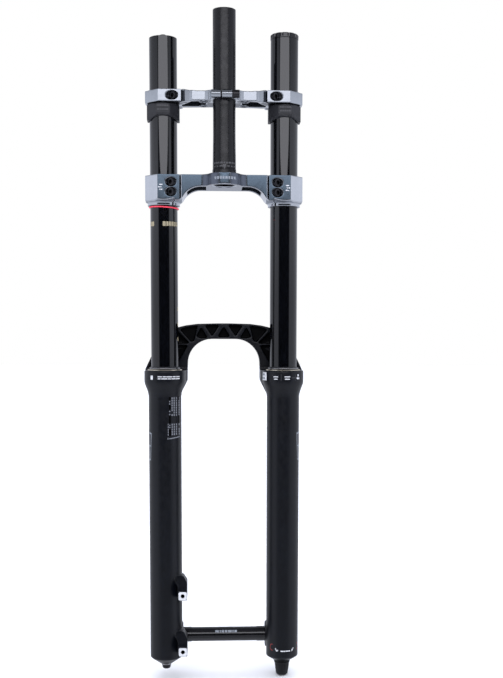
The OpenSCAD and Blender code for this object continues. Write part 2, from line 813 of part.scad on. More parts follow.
module lower_legs() color("#2b2c2e") {
  difference() {
    union() {
      on_leg(-1) leg_body(7.4, foot_z_left);
      on_leg(1) leg_body(11.4, foot_z_right);
      both_legs() collar_cheek();
      arch();
      for (side = [-1, 1]) mirror([side < 0 ? 1 : 0, 0, 0]) dropout();
      for (z = tab_z) brake_tab(z);
    }
    both_legs() leg_bores();
    on_leg(-1) {
      rod(air_shaft_r + slide_gap, leg_end_z - 0.2, leg_floor_z + eps);
      rod(3.4, foot_z_left - eps, leg_end_z);
    }
    on_leg(1) {
      rod(damper_shaft_r + slide_gap, leg_end_z - 0.2, leg_floor_z + eps);
      rod(3.6, foot_z_right - eps, leg_end_z);
    }
    translate([0, axle_y, -axle_drop]) {
      x_rod(axle_d / 2 + slide_gap, -110, 110);
      x_rod(13.6, lug_out, 110);
      x_rod(13.6, -110, -lug_out);
    }
    for (z = tab_z)
      translate([tab_x, 0, z]) rotate([90, 0, 0]) translate([0, 0, -11]) cylinder(h = 30, r = 3);
  }
}

module wiper_seal(side) color("#1c1c1e") on_leg(side) difference() {
  lathe([
    [stanchion_r + slide_gap, rim_z - 9], [seal_seat_r - fixed_gap, rim_z - 9],
    [seal_seat_r - fixed_gap, rim_z], [20.6, rim_z], [20.4, rim_z + 1.6],
    [18.9, rim_z + 2.2], [18.7, rim_z + 3], [19, rim_z + 3.8], [18.3, rim_z + 4.6],
    [stanchion_r + slide_gap, rim_z + 4.8]
  ]);
  o_ring(19.35, 0.65, rim_z + 2.8);
}

module wiper_seal_left() { wiper_seal(-1); }

module wiper_seal_right() { wiper_seal(1); }

module seal_rings() color("#c8b48a") both_legs() {
  tube(22.2, 20.65, rim_z + 0.05, rim_z + 1.2);
}

module wiper_springs() color("#9a9da0") both_legs() {
  o_ring(19.4, 0.55, rim_z + 2.8);
}

module foam_rings() color("#d8c35a") both_legs() {
  tube(seal_seat_r - 0.1, stanchion_r + 0.1, rim_z - 17.5, rim_z - 9.2);
}

module upper_bushings() color("#7d6a4a") both_legs() {
  tube(bore_r - fixed_gap, stanchion_r + slide_gap, rim_z - 40, rim_z - seal_seat_h - 0.2);
}

module lower_bushings() color("#7d6a4a") both_legs() {
  tube(bore_r - fixed_gap, stanchion_r + slide_gap, stanchion_foot + 4, stanchion_foot + 24);
}

module crush_washers() color("#b98a55") {
  on_leg(-1) tube(6.6, 3.1, foot_z_left - 1.05, foot_z_left - 0.05);
  on_leg(1) tube(7, 3.4, foot_z_right - 1.05, foot_z_right - 0.05);
}

// ---------- wheel axle ----------

module on_axle() {
  translate([0, axle_y, -axle_drop]) children();
}

module thru_axle() color("#18191b") on_axle() difference() {
  union() {
    x_rod(axle_d / 2, -lug_out + 4, -44);
    x_rod(axle_d / 2 - 0.5, -45, 45);
    x_rod(axle_d / 2, 44, lug_out + eps);
    x_rod(13, lug_out + 0.1, lug_out + 3);
  }
  x_rod(7, -lug_out - 4, lug_out + 4);
}

module axle_wedge() color("#8a8d90") on_axle() difference() {
  x_rod(7 - fixed_gap, lug_out - 13, lug_out + 1.5);
  x_rod(2.5, lug_out - 14, lug_out + 2);
}

module axle_wedge_bolt() color("#2a2b2d") on_axle() difference() {
  union() {
    x_rod(2.45, lug_out - 12.5, lug_out + 2);
    x_rod(4.2, lug_out + 1.55, lug_out + 2.9);
  }
  translate([lug_out + 0.6, 0, 0]) rotate([0, 90, 0]) cylinder(h = 3, r = 2.1, $fn = 6);
}

steerer_tube();
lower_crown();
upper_crown();
stanchion_left();
stanchion_right();
lower_crown_pinch_bolts();
upper_crown_pinch_bolts();
steerer_pinch_bolt();
bumper_left();
bumper_right();
sag_o_ring();
air_top_cap();
air_cap_seal();
air_valve_core();
air_valve_cap();
volume_spacers();
air_seal_head();
air_head_seal();
seal_head_clip();
air_shaft();
air_piston();
air_piston_seal();
air_topout_bumper();
bottom_out_bumper();
air_foot_nut();
damper_top_cap();
damper_cap_seal();
damper_tube();
compression_piston();
damper_bladder();
compression_dial();
dial_screw();
compression_needle();
damper_seal_head();
damper_shaft();
rebound_piston();
piston_glide_ring();
damper_topout_bumper();
damper_foot_bolt();
rebound_rod();
rebound_knob();
knob_screw();
lower_legs();
wiper_seal_left();
wiper_seal_right();
seal_rings();
wiper_springs();
foam_rings();
upper_bushings();
lower_bushings();
crush_washers();
thru_axle();
axle_wedge();
axle_wedge_bolt();
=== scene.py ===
import json
import math

import bmesh
import bpy
from mathutils import Matrix, Vector
from mathutils.bvhtree import BVHTree


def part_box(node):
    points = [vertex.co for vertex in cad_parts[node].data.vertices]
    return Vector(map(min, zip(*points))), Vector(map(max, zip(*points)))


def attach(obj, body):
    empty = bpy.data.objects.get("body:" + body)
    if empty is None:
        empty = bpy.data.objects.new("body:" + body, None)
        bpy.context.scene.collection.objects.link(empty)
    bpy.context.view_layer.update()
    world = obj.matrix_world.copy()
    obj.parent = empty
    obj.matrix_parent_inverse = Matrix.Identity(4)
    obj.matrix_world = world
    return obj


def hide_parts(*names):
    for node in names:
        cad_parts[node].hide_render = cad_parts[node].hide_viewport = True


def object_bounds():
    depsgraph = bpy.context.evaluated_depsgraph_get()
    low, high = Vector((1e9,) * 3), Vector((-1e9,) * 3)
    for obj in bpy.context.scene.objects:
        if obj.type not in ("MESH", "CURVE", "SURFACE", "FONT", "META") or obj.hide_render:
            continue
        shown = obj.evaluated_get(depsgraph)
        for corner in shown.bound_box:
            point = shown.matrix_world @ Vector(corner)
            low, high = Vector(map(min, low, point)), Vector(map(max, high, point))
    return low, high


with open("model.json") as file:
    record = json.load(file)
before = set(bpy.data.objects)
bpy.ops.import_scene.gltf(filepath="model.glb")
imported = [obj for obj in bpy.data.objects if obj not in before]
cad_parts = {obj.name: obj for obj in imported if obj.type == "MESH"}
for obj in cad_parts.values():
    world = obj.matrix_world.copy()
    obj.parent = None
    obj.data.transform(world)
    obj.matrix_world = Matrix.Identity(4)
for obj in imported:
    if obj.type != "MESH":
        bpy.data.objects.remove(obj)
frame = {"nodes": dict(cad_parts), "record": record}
bpy.context.view_layer.update()
cad_low, cad_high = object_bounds()

MM = 0.001
scene = bpy.context.scene
nodes = frame["nodes"]


# ---------- places, read from the frame, and the arch's back given ---

def middle(node):
    low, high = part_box(node)
    return (low + high) / 2


left_leg = middle("stanchion_left")
right_leg = middle("stanchion_right")
lower_crown_low, lower_crown_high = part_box("lower_crown")
upper_crown_low, upper_crown_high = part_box("upper_crown")
rim_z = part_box("seal_rings")[0].z
axle = middle("thru_axle")
ARCH_BACK = 51 * MM


# ---------- material nodes ----------

class Shader:
    """A Principled material whose colour, roughness and bump come from procedural patterns in object space."""

    def __init__(self, name, colour, metallic=0.0, roughness=0.5):
        self.material = bpy.data.materials.new(name)
        self.material.use_nodes = True
        self.tree = self.material.node_tree
        self.bsdf = self.tree.nodes["Principled BSDF"]
        self.bsdf.inputs["Metallic"].default_value = metallic
        self.bsdf.inputs["Roughness"].default_value = roughness
        self.bsdf.inputs["Base Color"].default_value = (*colour, 1)
        self.colour = colour
        self.roughness = roughness
        self.coords = self.tree.nodes.new("ShaderNodeTexCoord").outputs["Object"]
        self.normal = None

    def node(self, kind, **settings):
        made = self.tree.nodes.new(kind)
        for key, value in settings.items():
            setattr(made, key, value)
        return made

    def link(self, source, target):
        self.tree.links.new(source, target)

    def noise(self, size, stretch=(1, 1, 1), detail=3, roughness=0.55):
        """Noise with features of about this size in metres, stretched along the axes."""
        mapping = self.node("ShaderNodeMapping")
        mapping.inputs["Scale"].default_value = [1 / (size * s) for s in stretch]
        self.link(self.coords, mapping.inputs["Vector"])
        noise = self.node("ShaderNodeTexNoise")
        noise.inputs["Scale"].default_value = 1
        noise.inputs["Detail"].default_value = detail
        noise.inputs["Roughness"].default_value = roughness
        self.link(mapping.outputs["Vector"], noise.inputs["Vector"])
        return noise.outputs["Fac"]

    def ranged(self, value, low, high, low_in=0.3, high_in=0.7):
        span = self.node("ShaderNodeMapRange")
        span.inputs["From Min"].default_value = low_in
        span.inputs["From Max"].default_value = high_in
        span.inputs["To Min"].default_value = low
        span.inputs["To Max"].default_value = high
        self.link(value, span.inputs["Value"])
        return span.outputs["Result"]

    def vary_roughness(self, value, spread):
        self.link(self.ranged(value, self.roughness - spread, self.roughness + spread),
                  self.bsdf.inputs["Roughness"])

    def vary_colour(self, value, other):
        mix = self.node("ShaderNodeMix", data_type="RGBA")
        mix.inputs["A"].default_value = (*self.colour, 1)
        mix.inputs["B"].default_value = (*other, 1)
        self.link(self.ranged(value, 0, 1), mix.inputs["Factor"])
        self.link(mix.outputs["Result"], self.bsdf.inputs["Base Color"])

    def bump(self, value, depth, strength=1.0):
        bump = self.node("ShaderNodeBump")
        bump.inputs["Distance"].default_value = depth
        bump.inputs["Strength"].default_value = strength
        self.link(value, bump.inputs["Height"])
        if self.normal is not None:
            self.link(self.normal, bump.inputs["Normal"])
        self.normal = bump.outputs["Normal"]
        self.link(self.normal, self.bsdf.inputs["Normal"])


def shade(colour, factor):
    return tuple(min(1, c * factor) for c in colour)


def anodised(name, colour, roughness, grain, depth, stretch=(1, 1, 1), metallic=1.0, spread=0.05, tint=1.12):
    """Metal with a fine grain: blasted if the stretch is even, turned or brushed if it isn't."""
    made = Shader(name, colour, metallic, roughness)
    made.vary_colour(made.noise(grain * 18, detail=4), shade(colour, tint))
    made.vary_roughness(made.noise(grain * 6, stretch), spread)
    made.bump(made.noise(grain, stretch, detail=2), depth)
    return made.material


def moulded(name, colour, roughness, grain, depth, spread=0.06, specular=0.5, tint=1.5):
    """Rubber, plastic or paint with a fine texture."""
    made = Shader(name, colour, 0, roughness)
    made.bsdf.inputs["Specular IOR Level"].default_value = specular
    made.vary_colour(made.noise(grain * 22, detail=4), shade(colour, tint))
    made.vary_roughness(made.noise(grain * 9), spread)
    made.bump(made.noise(grain, detail=3), depth)
    return made.material


materials = {
    "steerer": moulded("steerer_black", (0.0015, 0.0015, 0.003), 0.28, 0.6 * MM, 0.0012 * MM, specular=0.43),
    "lower_crown": anodised("crown_grey_blue", (0.55, 0.575, 0.62), 0.16, 0.4 * MM, 0.0006 * MM, spread=0.02,
                            tint=1.05),
    "upper_crown": anodised("crown_silver", (0.47, 0.5, 0.54), 0.22, 0.5 * MM, 0.0002 * MM, (10, 1, 1),
                            spread=0.02, tint=1.05),
    "stanchion": moulded("stanchion_black", (0.0012, 0.0014, 0.0022), 0.05, 0.9 * MM, 0.0004 * MM, spread=0.015),
    "lowers": moulded("lowers_satin_black", (0.0012, 0.002, 0.0045), 0.34, 0.7 * MM, 0.003 * MM, specular=0.39),
    "bolt": anodised("bolt_black_oxide", (0.05, 0.05, 0.054), 0.36, 0.4 * MM, 0.004 * MM),
    "steel": anodised("steel_bright", (0.52, 0.52, 0.53), 0.25, 0.3 * MM, 0.003 * MM, (1, 1, 6)),
    "rubber": moulded("rubber_grey", (0.014, 0.0145, 0.018), 0.5, 0.5 * MM, 0.008 * MM, specular=0.6),
    "red_rubber": moulded("rubber_red", (0.9, 0.05, 0.09), 0.38, 0.5 * MM, 0.006 * MM, tint=1.2),
    "black_alloy": moulded("alloy_black", (0.003, 0.003, 0.004), 0.12, 0.5 * MM, 0.0006 * MM, spread=0.02,
                           specular=0.6),
    "silver_alloy": anodised("alloy_silver", (0.6, 0.61, 0.63), 0.25, 0.4 * MM, 0.004 * MM, (1, 1, 8)),
    "gold_alloy": anodised("alloy_champagne", (0.74, 0.68, 0.56), 0.3, 0.4 * MM, 0.004 * MM),
    "plastic_red": moulded("plastic_red", (0.45, 0.04, 0.03), 0.42, 0.8 * MM, 0.008 * MM, tint=1.2),
    "plastic_black": moulded("plastic_black", (0.018, 0.018, 0.019), 0.4, 0.6 * MM, 0.008 * MM),
    "bearing_liner": moulded("bearing_liner", (0.25, 0.2, 0.14), 0.5, 0.5 * MM, 0.01 * MM),
    "foam": moulded("foam_yellow", (0.6, 0.5, 0.16), 0.9, 1.2 * MM, 0.3 * MM),
}
STANCHION_IOR = 1.6
materials["stanchion"].node_tree.nodes["Principled BSDF"].inputs["IOR"].default_value = STANCHION_IOR
print_white = moulded("print_white", (0.66, 0.67, 0.69), 0.5, 0.4 * MM, 0.002 * MM, tint=0.9)
print_grey = moulded("print_grey", (0.25, 0.275, 0.31), 0.5, 0.4 * MM, 0.002 * MM, tint=0.85)
print_faint = moulded("print_faint", (0.075, 0.075, 0.08), 0.5, 0.4 * MM, 0.002 * MM, tint=0.8)
print_black = moulded("print_black", (0.001, 0.001, 0.001), 0.6, 0.4 * MM, 0.002 * MM, specular=0.04)
print_table = moulded("print_table", (0.18, 0.19, 0.215), 0.5, 0.4 * MM, 0.002 * MM, tint=0.8)
knob_black = moulded("knob_black", (0.004, 0.004, 0.005), 0.42, 0.5 * MM, 0.003 * MM, specular=0.3)
print_gold = moulded("print_gold", (0.36, 0.31, 0.2), 0.5, 0.4 * MM, 0.002 * MM, tint=0.85)
print_red = moulded("print_red", (0.3, 0.035, 0.03), 0.5, 0.4 * MM, 0.002 * MM, tint=0.85)
machined = anodised("machined_face", (0.72, 0.73, 0.75), 0.5, 0.3 * MM, 0.003 * MM, (1, 4, 1), metallic=0.2,
                    tint=1.02)
# Painted shade: a near-black copy of the leg paint for the arch pockets, where shade falls.
cast_pocket_shade = moulded("cast_pocket_painted_shade", (0.0006, 0.0008, 0.0012), 0.5, 0.7 * MM, 0.004 * MM, specular=0.08)
# Painted shade: a darker copy of the lower crown's grey-blue for its ring flanks, standing in for the dark
# reflections there.
crown_flank_shade = anodised("crown_flank_painted_shade", (0.165, 0.185, 0.23), 0.34, 0.4 * MM, 0.0006 * MM, spread=0.02,
                       tint=1.05)
# Painted shade: darker copies of the crown metal for the crowns' undersides.
lower_crown_under_shade = anodised("lower_crown_painted_under_shade", (0.3, 0.325, 0.37), 0.3, 0.4 * MM, 0.0006 * MM,
                           spread=0.02, tint=1.05)
upper_crown_under_shade = anodised("upper_crown_painted_under_shade", (0.1, 0.11, 0.13), 0.3, 0.4 * MM, 0.0006 * MM,
                           spread=0.02, tint=1.05)
# Painted shade: a dark copy of the crown metal for the crown pockets, where shade falls.
crown_pocket_shade = anodised("crown_pocket_painted_shade", (0.02, 0.024, 0.032), 0.4, 0.4 * MM, 0.002 * MM, metallic=0.6)


# ---------- CAD nodes: material, rounded edges, smooth shading ----------

# Voxel size in mm, smoothing passes and share of the faces kept, for pieces with broad soft edges
SOFT_EDGES = {
    "lower_crown": (0.5, 7, 0.25),
    "upper_crown": (0.5, 6, 0.25),
    "lower_legs": (0.8, 7, 0.2),
    "bumper_left": (0.5, 6, 0.3),
    "bumper_right": (0.5, 6, 0.3),
}
PLAIN_EDGE = 0.15


def plain_edges(piece):
    flat = piece.modifiers.new("flat_faces", "DECIMATE")
    flat.decimate_type = "DISSOLVE"
    flat.angle_limit = math.radians(0.5)
    edges = piece.modifiers.new("rounded_edges", "BEVEL")
    edges.width = PLAIN_EDGE * MM
    edges.segments = 2
    edges.limit_method = "ANGLE"
    edges.angle_limit = math.radians(32)
    edges.miter_outer = "MITER_ARC"
    normals = piece.modifiers.new("normals", "WEIGHTED_NORMAL")
    normals.keep_sharp = False
    normals.weight = 60


def soft_edges(piece, voxel, passes, kept):
    remesh = piece.modifiers.new("even_mesh", "REMESH")
    remesh.mode = "VOXEL"
    remesh.voxel_size = voxel * MM
    remesh.use_smooth_shade = True
    smooth = piece.modifiers.new("soft_edges", "SMOOTH")
    smooth.factor = 0.5
    smooth.iterations = passes
    fewer = piece.modifiers.new("fewer_faces", "DECIMATE")
    fewer.ratio = kept


def finish_cad_node(node, slot):
    piece = nodes[node]
    piece.data.materials.clear()
    piece.data.materials.append(materials[slot])
    weld = piece.modifiers.new("weld", "WELD")
    weld.merge_threshold = 0.002 * MM
    if node in SOFT_EDGES:
        soft_edges(piece, *SOFT_EDGES[node])
    else:
        plain_edges(piece)
    for polygon in piece.data.polygons:
        polygon.use_smooth = True


for part in frame["record"]["subparts"]:
    finish_cad_node(part["node"], part["material_slot"])
for node in ("rebound_knob", "air_foot_nut"):
    nodes[node].data.materials[0] = knob_black


# ---------- forged and cast pieces, with painted shade in their pockets, on the crowns' undersides and on the lower crown's ring flanks ---

# Material slots: the main finish, then painted shade in pockets, on ring flanks and on undersides.
MAIN, SHADED_POCKETS, SHADED_FLANKS, SHADED_UNDERNEATH = range(4)
FACES_DOWN = -0.8
FACES_SIDEWAYS = 0.35


# Pick the crown pocket faces that get the painted shade.
def in_upper_pocket(place, _normal, _tree):
    return (22 * MM < abs(place.x) < 54 * MM and 0.6 * MM < place.y < 31.6 * MM
            and upper_crown_low.z + 1.3 * MM < place.z < upper_crown_high.z - 5 * MM)


def in_lower_pocket(place, normal, _tree):
    return (22.6 * MM < abs(place.x) < 47.4 * MM and 6.6 * MM < place.y < 42 * MM
            and place.z < lower_crown_high.z - 3.5 * MM and normal.z > -0.9)


# Picks the arch pocket faces that get the painted shade.
def in_arch_pocket(place, normal, tree):
    if place.z < rim_z or abs(place.x) > 66 * MM or place.y < ARCH_BACK + 1.2 * MM:
        return False
    if normal.y < -0.5:
        return True
    return tree.ray_cast(place + normal * 0.2 * MM, normal, 30 * MM)[0] is not None


# The lower crown's ring flanks; where they face sideways they get the painted shade.
def on_ring_flank(place):
    return 7 * MM < abs(place.x) < 36 * MM and place.y < 1.6 * MM and place.z > lower_crown_high.z - 14 * MM


def soft_copy(name, node, body, slot, shade_in_pockets, is_hollow, shade_on_flanks=None, shade_underneath=None, underside_depth=0.0):
    """A copy of a CAD node with its soft edges. Its pockets, the crowns' undersides and the lower crown's ring
    flanks get darker copies of its material: painted shade.
    """
    source = nodes[node]
    mesh = bpy.data.meshes.new_from_object(source.evaluated_get(bpy.context.evaluated_depsgraph_get()))
    mesh.name = name
    source.modifiers.clear()
    mesh.materials.clear()
    mesh.materials.append(materials[slot])
    mesh.materials.append(shade_in_pockets)
    mesh.materials.append(shade_on_flanks)
    mesh.materials.append(shade_underneath)
    tree = BVHTree.FromPolygons([v.co for v in mesh.vertices], [p.vertices for p in mesh.polygons])
    underside_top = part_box(node)[0].z + underside_depth
    # Faces in pockets, on the lower crown's ring flanks and facing down low get the painted shade.
    for polygon in mesh.polygons:
        polygon.use_smooth = True
        hollow_face = is_hollow(polygon.center, polygon.normal, tree)
        polygon.material_index = SHADED_POCKETS if hollow_face else MAIN
        below = polygon.center.z < underside_top and polygon.normal.z < FACES_DOWN
        if shade_underneath and below and not hollow_face:
            polygon.material_index = SHADED_UNDERNEATH
        if node == "lower_crown" and abs(polygon.normal.x) > FACES_SIDEWAYS and on_ring_flank(polygon.center):
            polygon.material_index = SHADED_FLANKS
    made = bpy.data.objects.new(name, mesh)
    scene.collection.objects.link(made)
    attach(made, body)
    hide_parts(node)
    return made


# The crowns and lower legs get painted shade in their pockets, the crowns also on their undersides and the lower
# crown on its ring flanks.
forged_lower = soft_copy("forged_lower_crown", "lower_crown", "crowns", "lower_crown",
                         crown_pocket_shade, in_lower_pocket, crown_flank_shade, lower_crown_under_shade, 30 * MM)
forged_upper = soft_copy("forged_upper_crown", "upper_crown", "crowns", "upper_crown",
                         crown_pocket_shade, in_upper_pocket, crown_flank_shade, upper_crown_under_shade, 1.0 * MM)
soft_copy("cast_lower_legs", "lower_legs", "lowers", "lowers", cast_pocket_shade, in_arch_pocket)


# ---------- turned pieces, from the CAD's own profile, with a finer circle ----------

CAD_SEGMENTS = 42
FINE_SEGMENTS = 144
CUT_TURN = math.radians(0.5)
OTHER_SIDE = 60 * MM


def profile_loops(mesh, to_z, centre):
    """The closed outlines, as (radius, height), of a turned solid cut beside its seam."""
    work = bmesh.new()
    work.from_mesh(mesh)
    work.transform(to_z @ Matrix.Translation(-centre))
    bmesh.ops.remove_doubles(work, verts=work.verts, dist=0.002 * MM)
    across = Vector((-math.sin(CUT_TURN), math.cos(CUT_TURN), 0))
    along = Vector((math.cos(CUT_TURN), math.sin(CUT_TURN), 0))
    everything = work.verts[:] + work.edges[:] + work.faces[:]
    cut = bmesh.ops.bisect_plane(work, geom=everything, plane_co=(0, 0, 0), plane_no=across, dist=1e-8)
    edges = [e for e in cut["geom_cut"] if isinstance(e, bmesh.types.BMEdge)]
    edges = [e for e in edges if all(v.co.dot(along) > 0 for v in e.verts)]
    half = math.pi / CAD_SEGMENTS
    true_radius = math.cos(half - CUT_TURN) / math.cos(half)
    beside = {}
    for edge in edges:
        a, b = edge.verts
        beside.setdefault(a, []).append(b)
        beside.setdefault(b, []).append(a)
    loops, left = [], set(beside)
    while left:
        here = min(left, key=lambda v: (round(v.co.z, 6), v.co.dot(along)))
        loop = []
        while here is not None:
            left.discard(here)
            loop.append((here.co.dot(along) * true_radius, here.co.z))
            here = next((v for v in beside[here] if v in left), None)
        loops.append(loop)
    work.free()
    return loops


def turned(name, node, body, slot, centres, to_z=Matrix.Identity(4)):
    """Stands for a turned CAD node, spun from its own profile about one axis for each centre."""
    verts, faces = [], []
    for centre in centres:
        for loop in profile_loops(nodes[node].data, to_z, centre):
            if any(r > OTHER_SIDE for r, z in loop):
                continue
            start, size = len(verts), len(loop)
            for i in range(FINE_SEGMENTS):
                angle = math.tau * i / FINE_SEGMENTS
                for r, z in loop:
                    spun = Vector((r * math.cos(angle), r * math.sin(angle), z))
                    verts.append(to_z.inverted() @ spun + centre)
            for i in range(FINE_SEGMENTS):
                j = (i + 1) % FINE_SEGMENTS
                for k in range(size):
                    m = (k + 1) % size
                    faces.append((start + i * size + k, start + j * size + k, start + j * size + m,
                                  start + i * size + m))
    mesh = bpy.data.meshes.new(name)
    mesh.from_pydata(verts, [], faces)
    fix = bmesh.new()
    fix.from_mesh(mesh)
    bmesh.ops.recalc_face_normals(fix, faces=fix.faces)
    fix.to_mesh(mesh)
    fix.free()
    for polygon in mesh.polygons:
        polygon.use_smooth = True
    mesh.set_sharp_from_angle(angle=math.radians(30))
    mesh.materials.append(materials[slot])
    made = bpy.data.objects.new(name, mesh)
    scene.collection.objects.link(made)
    edges = made.modifiers.new("rounded_edges", "BEVEL")
    edges.width = PLAIN_EDGE * MM
    edges.segments = 2
    edges.limit_method = "ANGLE"
    edges.angle_limit = math.radians(32)
    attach(made, body)
    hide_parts(node)
    return made


steerer_axis = Vector((0, 0, 0))
left_axis = Vector((left_leg.x, left_leg.y, 0))
right_axis = Vector((right_leg.x, right_leg.y, 0))
axle_axis = Vector((0, axle.y, axle.z))
X_TO_Z = Matrix.Rotation(math.radians(-90), 4, "Y")
turned("steerer", "steerer_tube", "crowns", "steerer", [steerer_axis])
turned("left_stanchion", "stanchion_left", "crowns", "stanchion", [left_axis])
turned("right_stanchion", "stanchion_right", "crowns", "stanchion", [right_axis])
turned("left_wiper", "wiper_seal_left", "lowers", "rubber", [left_axis])
turned("right_wiper", "wiper_seal_right", "lowers", "rubber", [right_axis])
turned("wiper_rings", "seal_rings", "lowers", "gold_alloy", [left_axis, right_axis])
turned("hollow_axle", "thru_axle", "axle", "black_alloy", [axle_axis], X_TO_Z)


# ---------- plain printed marks, laid on the surface below them ----------

LIFT = 0.09 * MM
REACH = 80 * MM


def surface(node):
    mesh = nodes[node].data
    return BVHTree.FromPolygons([v.co for v in mesh.vertices], [p.vertices for p in mesh.polygons])


def towards_axis(axis):
    """Aims at an upright axis. The angle is in degrees from straight back towards the rider's right."""
    def aim(angle, z):
        out = Vector((math.sin(math.radians(angle)), -math.cos(math.radians(angle)), 0))
        return Vector((axis.x, axis.y, z * MM)) + out * REACH, -out
    return aim


def towards_axle(angle, x):
    """Aims at the axle. The angle is in degrees from straight back, upwards."""
    out = Vector((0, -math.cos(math.radians(angle)), math.sin(math.radians(angle))))
    return Vector((x * MM, axle.y, axle.z)) + out * REACH, -out


def straight_ahead(x, z):
    return Vector((x * MM, -REACH, z * MM)), Vector((0, 1, 0))


def bar(u0, u1, v0, v1):
    return [(u0, v0), (u1, v0), (u1, v1), (u0, v1)]


def frame_of_bars(u0, u1, v0, v1, thick_u, thick_v):
    return [
        bar(u0, u1, v0, v0 + thick_v), bar(u0, u1, v1 - thick_v, v1),
        bar(u0, u0 + thick_u, v0 + thick_v, v1 - thick_v), bar(u1 - thick_u, u1, v0 + thick_v, v1 - thick_v),
    ]


def row_of_bars(u0, u1, v0, v1, widths, gap):
    """Bars side by side from u0 to u1, with these relative widths."""
    scale = (u1 - u0 - gap * (len(widths) - 1)) / sum(widths)
    made = []
    for width in widths:
        made.append(bar(u0, u0 + width * scale, v0, v1))
        u0 += width * scale + gap
    return made


def printed(name, node, body, aim, shapes, paint, step_u=4.0, step_v=6.0, lift=LIFT):
    """Four-sided patches given by their corners in the aim's two coordinates, printed on a CAD node."""
    tree = surface(node)
    verts, faces = [], []
    for corners in shapes:
        (ua, va), (ub, vb), (uc, vc), (ud, vd) = corners
        across = max(1, math.ceil(max(abs(ub - ua), abs(uc - ud)) / step_u))
        upward = max(1, math.ceil(max(abs(vd - va), abs(vc - vb)) / step_v))
        start = len(verts)
        for j in range(upward + 1):
            t = j / upward
            for i in range(across + 1):
                s = i / across
                u = (ua * (1 - s) + ub * s) * (1 - t) + (ud * (1 - s) + uc * s) * t
                v = (va * (1 - s) + vb * s) * (1 - t) + (vd * (1 - s) + vc * s) * t
                origin, direction = aim(u, v)
                hit, normal, _, _ = tree.ray_cast(origin, direction)
                if normal.dot(direction) > 0:
                    normal = -normal
                verts.append(hit + normal * lift)
        for j in range(upward):
            for i in range(across):
                a = start + j * (across + 1) + i
                faces.append((a, a + 1, a + across + 2, a + across + 1))
    mesh = bpy.data.meshes.new(name)
    mesh.from_pydata(verts, [], faces)
    for polygon in mesh.polygons:
        polygon.use_smooth = True
    mesh.materials.append(paint)
    made = bpy.data.objects.new(name, mesh)
    scene.collection.objects.link(made)
    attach(made, body)
    return made


at_left_leg = towards_axis(left_axis)
at_right_leg = towards_axis(right_axis)
at_steerer = towards_axis(steerer_axis)


def mirrored(shapes):
    return [[(-u, v) for u, v in reversed(corners)] for corners in shapes]


def stanchion_marks():
    words = row_of_bars(-3, 78, -63.4, -57.8, [1.4, 1, 1, 1.2, 1, 0.8, 1], 2.5)
    words += row_of_bars(-72, -44, -63.4, -57.8, [1, 1.1], 3)
    printed("left_stanchion_marks", "stanchion_left", "crowns", at_left_leg, words, print_gold)
    ticks = [bar(72, 88, z, z + 4.6) for z in (-170.6, -189.6, -208.8)]
    printed("left_stanchion_sag_ticks", "stanchion_left", "crowns", at_left_leg, ticks, print_gold,
            lift=0.055 * MM)


def collar_marks():
    left = [bar(-41, -33, -258.4, -253.2)]
    left += row_of_bars(-18, 47, -255.2, -254, [3, 2, 4, 2, 3], 1.6)
    left += row_of_bars(-18, 47, -257.8, -256.6, [2, 4, 2, 3, 3], 1.6)
    printed("left_collar_marks", "lower_legs", "lowers", at_left_leg, left, print_white)
    right = [bar(-31, -18, -255.2, -254), bar(-30, -19, -258.2, -257), bar(0, 16, -255.2, -254),
             bar(1, 15, -258.2, -257), bar(40, 45, -254.2, -251.6), bar(37.5, 47, -257.8, -255.6)]
    printed("right_collar_marks", "lower_legs", "lowers", at_right_leg, right, print_white)
    lines = [bar(-9.6, -8.8, -259.5, -251.5), bar(21, 31, -256.2, -255.6), bar(33, 33.8, -259.5, -251.5)]
    printed("right_collar_lines", "lower_legs", "lowers", at_right_leg, lines, print_faint)
    label = [bar(-88, -57, -259.6, -249.2)]
    printed("right_collar_label", "lower_legs", "lowers", at_right_leg, label, print_white)
    fields = [bar(-84, -66, -253.4, -251), bar(-84, -66, -258, -255.6)]
    printed("right_collar_label_fields", "lower_legs", "lowers", at_right_leg, fields, print_grey,
            lift=2 * LIFT)


def leg_table():
    """Plain rows of dashes between two dark strips, where a set-up table sits."""
    dashes = []
    for column, (angle, width) in enumerate(((25.2, 4), (33.4, 4.4), (43, 5), (57, 7))):
        for line in range(16):
            top = -281.2 - line * 3.1
            if -315 < top < -304.5 or (line * 5 + column * 3) % 13 == 4:
                continue
            dashes.append(bar(angle, angle + width, top - 2.4, top))
    dashes += [bar(11.4, 14, top - 2.4, top) for top in (-315, -318.3, -321.6, -324.9, -328.2)]
    dashes += [bar(16.4, 20.4, top - 1.4, top) for top in (-286, -289, -298.6, -302.4, -316.6, -319.4)]
    dashes.append([(9.8, -335.6), (13.5, -335.3), (13.5, -333), (9.8, -333.3)])
    dashes.append([(15.5, -335.4), (66, -333), (66, -331.6), (15.5, -334)])
    printed("left_leg_table", "lower_legs", "lowers", at_left_leg, dashes, print_table)
    strips = [bar(15.6, 22, -285, -280.6), bar(15.6, 22, -297, -291), bar(15.6, 22, -314.5, -305.5),
              bar(15.6, 22, -331, -323), bar(55.2, 59.8, -285.4, -280.4), bar(55.2, 59.8, -314.5, -304.5)]
    printed("left_leg_table_strips", "lower_legs", "lowers", at_left_leg, strips, print_black)


